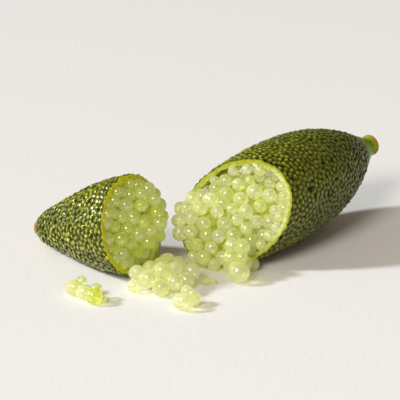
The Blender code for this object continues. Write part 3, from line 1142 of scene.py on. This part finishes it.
leftCluster = roundPearls("leftCluster", asPearls(leftPearls), 4, 7, leftTones)

finishPearls(stemPearls, "pearls_stem_end")
finishPearls(blossomPearls, "pearls_blossom_end")
finishPearls(heapPearls, "pearls_heap")
finishPearls(frontCluster, "pearls_front_cluster")
finishPearls(leftCluster, "pearls_left_cluster")


# A pearl that has burst and lies flat.
burstPearl = {
    "place": (1.5, -22.2),
    "radii": (1.75, 1.6),
    "height": 0.4,
    "waves": ((3, 0.10, 2), (5, 0.07, 4)),  # of its edge: how many, how high, where they start
    "underside": 0.5,  # the share of the radius where the flat side's last row is
    "tone": 0.2,
    "columns": 72,
    "rows": 10,
}


def buildDrop(name, look):
    rows = []
    columns, rowCount = look["columns"], look["rows"]
    x, y = look["place"]
    for row in list(range(1, rowCount + 1)) + [rowCount]:
        under = len(rows) == rowCount * columns
        share = math.sin(math.pi / 2 * row / rowCount) * (look["underside"] if under else 1)
        rise = 0.0 if under else look["height"] * math.cos(math.pi / 2 * row / rowCount)
        for turn in turnsOf(columns):
            swing = sum(
                size * math.sin(count * turn + start) for count, size, start in look["waves"]
            )
            edge = share * (1 + swing)
            rows.append((x + look["radii"][0] * edge * math.cos(turn),
                         y + look["radii"][1] * edge * math.sin(turn), rise))
    rows.extend([(x, y, look["height"]), (x, y, 0.0)])
    points = [(Vector(row) - layoutMiddle) * mm for row in rows]
    tone = [look["tone"]] * len(points)
    return turnedOut(
        meshObject(name, points, closedSkin(columns, rowCount + 1), {"tone": tone}), pearl
    )


finishPearls(buildDrop("burstPearl", burstPearl), None)


tableLook = {
    "colour": (0.84, 0.828, 0.812),
    "size": 3.0,
    "below": 0.02,  # a hair under the pieces
    "grainSize": 0.9,
    "grainShade": 0.975,
}
lightLook = {
    "towards": Vector((-0.84, 0.04, 0.54)),
    "keyStrength": 3.05,
    "keyColour": (0.90, 0.955, 1.0),
    "keySpread": 7.0,
    "fill": (0.235, 0.197, 0.165),
    "softPlace": Vector((-0.56, -1.0, 0.98)),
    "softSize": 0.68,
    "softPower": 12.2,
    "softColour": (1.0, 0.945, 0.88),
}
cameraLook = {
    "down": 22.0, "distance": 450.0, "target": Vector((0, 0, 8)), "lens": 202.5, "sensor": 36,
    "clip": (0.01, 20),
}


def buildTable(look):
    half = look["size"] / 2
    corners = [(-half, -half, 0), (half, -half, 0), (half, half, 0), (-half, half, 0)]
    made = meshObject("tableTop", corners, [(0, 1, 2, 3)])
    made.location.z = -look["below"] * mm
    paper, tree, shader = newMaterial("paleTable", {"Roughness": 0.85, "Specular IOR Level": 0.2})
    grain = addCloud(tree, look["grainSize"], low=0.3, high=0.7, detail=4.0)
    shade = [value * look["grainShade"] for value in look["colour"]]
    tree.links.new(addMix(tree, grain, shade, look["colour"]), shader.inputs["Base Color"])
    addBump(tree, shader, grain, 0.25, 0.08)
    made.data.materials.append(paper)


def faceBack(item, direction):
    # lights and the camera look along their own -Z
    item.rotation_mode = "QUATERNION"
    item.rotation_quaternion = direction.to_track_quat("Z", "Y")


def buildLight(look):
    key = bpy.data.lights.new("window", "SUN")
    key.energy = look["keyStrength"]
    key.color = look["keyColour"]
    key.angle = math.radians(look["keySpread"])
    faceBack(addObject("window", key), look["towards"])
    soft = bpy.data.lights.new("softBox", "AREA")
    soft.shape = "DISK"
    soft.size = look["softSize"]
    soft.energy = look["softPower"]
    soft.color = look["softColour"]
    box = addObject("softBox", soft)
    box.location = look["softPlace"]
    faceBack(box, look["softPlace"])
    world = bpy.data.worlds.new("studio")
    world.use_nodes = True
    world.node_tree.nodes["Background"].inputs["Color"].default_value = (*look["fill"], 1)
    bpy.context.scene.world = world


def buildCamera(look):
    down = math.radians(look["down"])
    back = Vector((0, -math.cos(down), math.sin(down)))
    lens = bpy.data.cameras.new("camera")
    lens.sensor_width = look["sensor"]
    lens.lens = look["lens"]
    lens.clip_start, lens.clip_end = look["clip"]
    made = addObject("camera", lens)
    made.location = (look["target"] - layoutMiddle + back * look["distance"]) * mm
    faceBack(made, back)
    bpy.context.scene.camera = made


buildTable(tableLook)
buildLight(lightLook)
buildCamera(cameraLook)
bpy.context.scene.view_settings.view_transform = "Standard"
bpy.context.scene.view_settings.look = "None"
print("table, light and camera ready")
